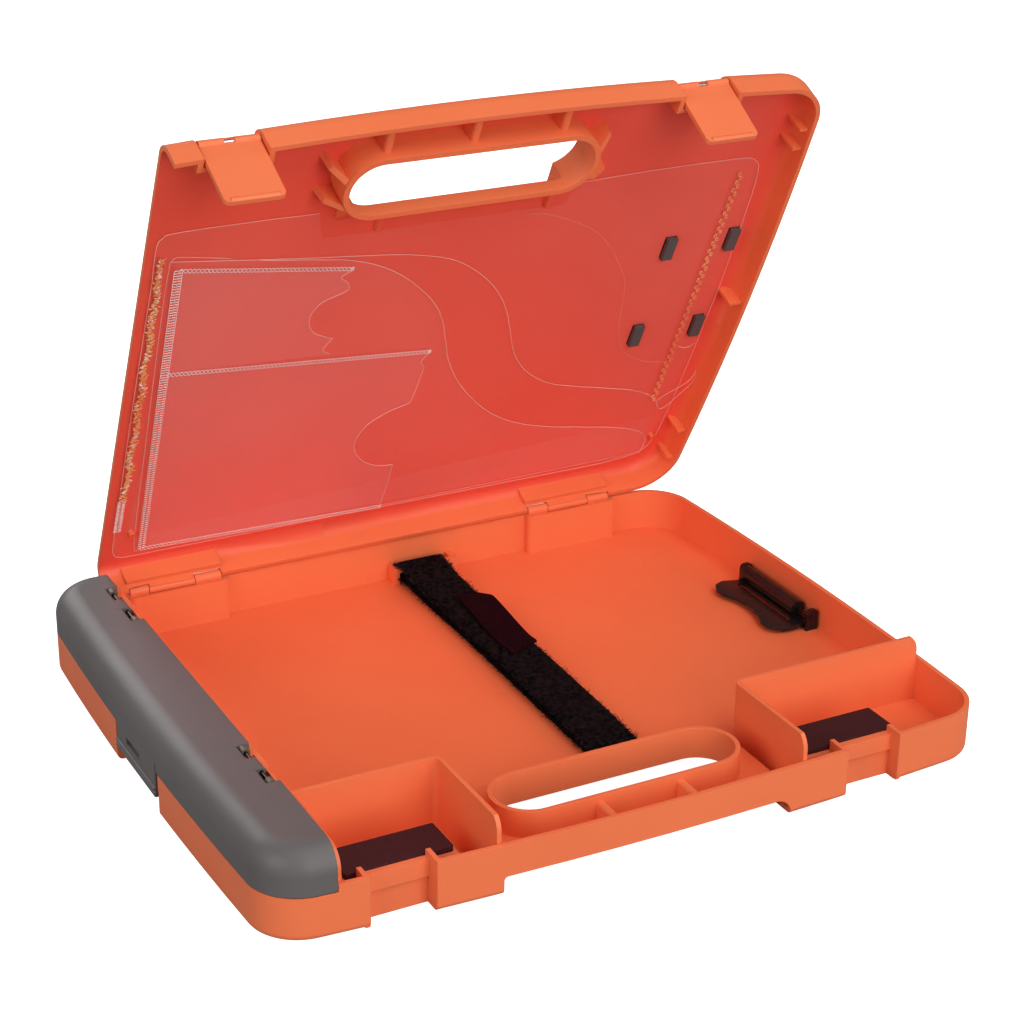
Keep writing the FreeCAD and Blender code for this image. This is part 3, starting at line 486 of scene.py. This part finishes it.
def weld_rows():
    """Tool marks of the heat seal: chains of small rings between two fine lines."""
    z = FILM_TOP - 3 * FILM_STEP - 0.2
    spacing, rungs = 2.05, 118
    y_top, y_low = -69, 126
    batch = Batch()
    rows = (((-133.5, -68.5), (-47.5, -53.8)), ((-131, -0.8), (7, 13.2)),
            ((-130, 126.6), (3, 130.4)))
    for (x0, y0), (x1, y1) in rows:
        steps = int(math.hypot(x1 - x0, y1 - y0) / spacing)
        for i in range(steps + 1):
            t = i / steps
            batch.add(*ring(x0 + (x1 - x0) * t, y0 + (y1 - y0) * t, z, 0.88, 1.25, 0.19))
    # two ladders down the left side, each a run of rungs between a pair of rails
    for x_top, x_low in ((-135.9, -131.2), (-133.9, -129.2)):
        for i in range(rungs + 1):
            t = i / rungs
            x, y = x_top + (x_low - x_top) * t, y_top + (y_low - y_top) * t
            batch.add(*sweep([(x - 0.8, y, z), (x + 0.8, y, z)], 0.26, sides=4))
        for off in (-1.0, 1.0):
            batch.add(*sweep([(x_top + off, y_top, z), (x_low + off, y_low, z)], 0.12, sides=4))
    # a small cross closes each row
    for spot in ((-47.5, -53.8), (7, 13.2), (3, 130.4)):
        for turn in (0.7, -0.7):
            dx, dy = 1.2 * math.cos(turn), 1.2 * math.sin(turn)
            batch.add(*sweep([(spot[0] - dx, spot[1] - dy, z), (spot[0] + dx, spot[1] + dy, z)],
                             0.2, sides=4))
    on_lid(batch.object("seal_marks", weld))


def melted_seams():
    """Where the pockets are fused to the lid: crinkled beads, orange with white specks, which are
    painted glints on the crinkles.
    """
    z = FILM_TOP - 1.2
    hot_share = 0.86
    hot, pale = Batch(), Batch()
    for y in np.arange(-77, 86, 1.05):
        x = -143.4 + 0.6 * math.sin(y * 0.21)
        for _ in range(4):
            jx, jy = rng.normal(0, 0.75), rng.normal(0, 0.5)
            size = rng.uniform(0.45, 1.0)
            bent = [(x + jx - size, y + jy, z), (x + jx, y + jy + rng.normal(0, 0.5), z - 0.3),
                    (x + jx + size, y + jy + rng.normal(0, 0.7), z)]
            batch = hot if rng.random() < hot_share else pale
            batch.add(*sweep(bent, rng.uniform(0.22, 0.40), sides=4))
    # a zigzag of rings down the right seam, and a short pale ladder at the left seam's foot
    for n, y in enumerate(np.arange(-79, 85, 2.6)):
        x = 159 + (0.9 if n % 2 else -0.9) + rng.normal(0, 0.2)
        hot.add(*ring(x, y, z + 0.6, 0.8, 1.15, 0.3))
    for y in np.arange(87, 111, 1.0):
        for x in (-145.6, -143.4):
            pale.add(*sweep([(x - 0.9, y, z), (x + 0.9, y + rng.normal(0, 0.2), z)], 0.24,
                            sides=4))
    on_lid(hot.object("fused_seam_beads", melted))
    on_lid(pale.object("fused_seam_specks", weld))


def loose_corner():
    """The back film buckles past its seam near the lid's right wall."""
    batch = Batch()
    for bend in ([(161, 86), (166, 80), (173, 75), (178, 71), (180, 66)],
                 [(161, 86), (164, 92), (168, 90), (174, 82), (180, 74), (180, 66)],
                 [(161, 43), (166, 43.6), (172, 42.6)]):
        run = curve_through(bend)
        z = FILM_TOP - 1.0 - 1.4 * np.sin(np.linspace(0, math.pi, len(run)))
        batch.add(*sweep(np.column_stack([run, z]), 0.16, sides=4))
    on_lid(batch.object("film_buckles", film_edge))


# ---------------------------------------------------------------- strap
STRAP_X = 22.6
STRAP_HALF = 12.5
STRAP_THICK = 1.6
CELLS = 14               # divisions across the tape
LOOPS = 12000            # loops of pile tried
LOWEST_LOOP = 2.62       # just above the tray's floor
# middle line of the tape as (y, z): along the floor, round the bridge, back along the top
TAPE = ((-80, 3.75), (-70, 3.7), (-40, 3.8), (0, 3.7), (45, 3.9), (90, 3.7), (118, 4.2),
        (134, 5.2), (141.5, 6.2), (144.6, 8.6), (144.4, 11.6), (141.5, 13.3), (137, 13.2),
        (130, 12.2), (118, 10.7), (96, 9.6), (60, 9.3), (10, 9.5), (-40, 9.2), (-62, 8.2),
        (-74, 6.8), (-80, 6.2))


def tape_run():
    """Middle line in 3-D, wandering a little sideways along its way."""
    line = curve_through(TAPE, per=10)
    y, z = line[:, 0], line[:, 1]
    x = STRAP_X + 0.9 * np.sin(y / 47) + np.where(z > 5.4, -0.3, 0.4)
    return np.column_stack([x, y, z])


def ribbon(name, centre, look):
    """Closed strip of tape with rounded edges and slightly uneven faces."""
    noise = np.random.default_rng(3)
    ahead = np.gradient(centre, axis=0)
    ahead[:, 0] = 0
    ahead /= np.linalg.norm(ahead, axis=1, keepdims=True)
    up = np.cross((1.0, 0.0, 0.0), ahead)
    count = len(centre)
    across = np.linspace(-1, 1, CELLS + 1)
    edge = np.sqrt(np.clip(1 - np.abs(across) ** 10, 0.02, 1))
    verts, per = [], 2 * (CELLS + 1)
    for i in range(count):
        for sign in (1, -1):
            for a, e in zip(across[::sign], edge[::sign]):
                rough = noise.normal(0, 0.015)
                verts.append(centre[i] + np.array((a * STRAP_HALF + noise.normal(0, 0.04), 0, 0))
                             + up[i] * (sign * STRAP_THICK / 2 * e + rough))
    faces = []
    for i in range(count - 1):
        for k in range(per):
            m = (k + 1) % per
            faces.append((i * per + k, (i + 1) * per + k, (i + 1) * per + m, i * per + m))
    faces.append(tuple(range(per)))
    faces.append(tuple((count - 1) * per + k for k in reversed(range(per))))
    return mesh_object(name, np.array(verts) * MM, faces, look), up


def strap():
    """The looped-pile tape in one run, for both of the flat stand-in layers."""
    centre = tape_run()
    tape, up = ribbon("strap_tape", centre, pile)
    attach(tape, "tray")
    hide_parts("strap_lower", "strap_upper")

    # loose loops of pile on the faces and along both edges
    batch = Batch()
    count = len(centre)
    for _ in range(LOOPS):
        i = rng.integers(1, count - 1)
        at_edge = rng.random() < 0.34
        side = rng.choice((-1, 1))
        across = side * rng.uniform(0.96, 1.02) if at_edge else rng.uniform(-0.97, 0.97)
        base = centre[i] + (centre[i + 1] - centre[i]) * rng.random()
        base = base + np.array((across * STRAP_HALF, 0, 0)) + up[i] * (0.1 if at_edge else 0.74)
        if at_edge:
            out = np.array((side * rng.uniform(0.4, 1), rng.normal(0, 0.5),
                            rng.uniform(-0.3, 0.5)))
            size = rng.uniform(0.6, 1.7)
        else:
            out = up[i] + rng.normal(0, 0.6, 3)
            size = rng.uniform(0.4, 1.0)
        drift = rng.normal(0, 0.45, 3)
        bend = [base, base + out * size * 0.6, base + (out * 0.8 + drift) * size]
        if min(p[2] for p in bend) < LOWEST_LOOP:
            continue
        batch.add(*sweep(bend, rng.uniform(0.07, 0.14), sides=3))
    loops = batch.object("strap_pile_loops", fibre)
    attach(loops, "tray")


def hook_tape():
    """Smooth woven back of the hook piece, lying slightly askew on the pile."""
    outline = [(19, 26, "corner"), (36.3, 33, "corner"), (36, 46), (39.8, 84), (39.6, 90, "corner"),
               (34, 96.5, "corner"), (23.5, 98, "corner"), (20.5, 72), (18.2, 46)]
    patch = flat_sheet("hook_tape_end", curve_through(outline, closed=True), 11.35, 1.1,
                       hook_back)
    # both ends droop by the same amount from the middle
    droop, middle, reach = 0.6 * MM, 60, 38
    for v in patch.data.vertices:
        v.co.z -= droop * ((v.co.y / MM - middle) / reach) ** 2
    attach(patch, "tray")
    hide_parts("strap_hook_end")


# ---------------------------------------------------------------- studio
FLOOR_GLOW = 0.95
FLOOR_HALF = 12.0
FLOOR_DROP = 0.0004      # keeps the floor just clear of the tray's underside
ROOM_LIGHT, ROOM_SEEN = 0.10, 1.0
TRANSPARENT_BOUNCES = 48
# big soft sources: name, place, aim, size, watts
LAMPS = (("key", (0.25, -0.9, 1.5), (0, 0.02, 0.04), 1.3, 12.8),
         ("right", (1.5, -0.4, 0.8), (0, 0, 0.08), 1.0, 6.4),
         ("left", (-1.5, -0.5, 0.8), (0, 0, 0.08), 1.0, 10.5),
         ("low", (0.1, -1.6, 0.5), (0, 0, 0.08), 1.0, 12.5),
         ("rear", (-0.4, 1.7, 1.1), (0, 0.15, 0.12), 1.2, 18))


def studio():
    # the sweep looks white but throws little light back up, like a lit backdrop
    floor_look = Shader("pale_floor")
    floor_look.surface.inputs["Roughness"].default_value = 0.9
    floor_look.surface.inputs["Specular IOR Level"].default_value = 0.1
    floor_look.surface.inputs["Emission Color"].default_value = (1, 1, 1, 1)
    path = floor_look.add("LightPath")
    shade = floor_look.ramp(path.outputs["Is Camera Ray"], (0.30, 0.30, 0.30),
                            (0.85, 0.85, 0.85), 0, 1)
    floor_look.link(shade.outputs["Color"], floor_look.surface.inputs["Base Color"])
    glow = floor_look.spread(path.outputs["Is Camera Ray"], 0.0, FLOOR_GLOW)
    floor_look.link(glow.outputs["Result"], floor_look.surface.inputs["Emission Strength"])
    side = FLOOR_HALF
    floor = mesh_object("studio_floor", [(-side, -side, 0), (side, -side, 0), (side, side, 0),
                                         (-side, side, 0)], [(0, 1, 2, 3)],
                        floor_look.material, smooth=False)
    floor.location.z = -FLOOR_DROP

    world = bpy.data.worlds.new("soft_room")
    world.use_nodes = True
    back = world.node_tree.nodes["Background"]
    back.inputs["Color"].default_value = (1, 1, 1, 1)
    seen = world.node_tree.nodes.new("ShaderNodeLightPath")
    level = world.node_tree.nodes.new("ShaderNodeMapRange")
    level.inputs["To Min"].default_value = ROOM_LIGHT
    level.inputs["To Max"].default_value = ROOM_SEEN
    world.node_tree.links.new(seen.outputs["Is Camera Ray"], level.inputs["Value"])
    world.node_tree.links.new(level.outputs["Result"], back.inputs["Strength"])
    bpy.context.scene.world = world

    for name, place, aim, size, watts in LAMPS:
        lamp = bpy.data.lights.new(name, "AREA")
        lamp.energy, lamp.size = watts, size
        holder = bpy.data.objects.new(name, lamp)
        holder.location = place
        look = Vector(aim) - Vector(place)
        holder.rotation_euler = look.to_track_quat("-Z", "Y").to_euler()
        bpy.context.scene.collection.objects.link(holder)
    bpy.context.scene.view_settings.view_transform = "Standard"
    # light has to cross up to four clear sheets, two faces each, on the way in and out
    bpy.context.scene.cycles.transparent_max_bounces = TRANSPARENT_BOUNCES


# ---------------------------------------------------------------- camera
AZIMUTH, ELEVATION, ROLL = -28.36, 23.56, 0.87     # degrees
TARGET = Vector((0.0873, 0.1440, 0.040))
DISTANCE = 1.2861
SENSOR_WIDTH = 36
FOCAL_IMAGE_WIDTHS = 2.299                         # focal length over the image's width
SHIFT = (-0.0113, -0.0201)


def make_camera():
    az, el, roll = (math.radians(a) for a in (AZIMUTH, ELEVATION, ROLL))
    back = Vector((math.sin(az) * math.cos(el), -math.cos(az) * math.cos(el), math.sin(el)))
    right = Vector((math.cos(az), math.sin(az), 0))
    up = back.cross(right)
    tilted_right = right * math.cos(roll) + up * math.sin(roll)
    tilted_up = up * math.cos(roll) - right * math.sin(roll)
    turn = Matrix((tilted_right, tilted_up, back)).transposed().to_4x4()
    data = bpy.data.cameras.new("camera")
    data.sensor_width = SENSOR_WIDTH
    data.lens = FOCAL_IMAGE_WIDTHS * data.sensor_width
    data.shift_x, data.shift_y = SHIFT
    data.clip_start, data.clip_end = 0.05, 60
    camera = bpy.data.objects.new("camera", data)
    camera.matrix_world = Matrix.Translation(TARGET + back * DISTANCE) @ turn
    bpy.context.scene.collection.objects.link(camera)
    bpy.context.scene.camera = camera


film_sheets()
film_edges()
weld_rows()
melted_seams()
loose_corner()
strap()
hook_tape()
studio()
make_camera()
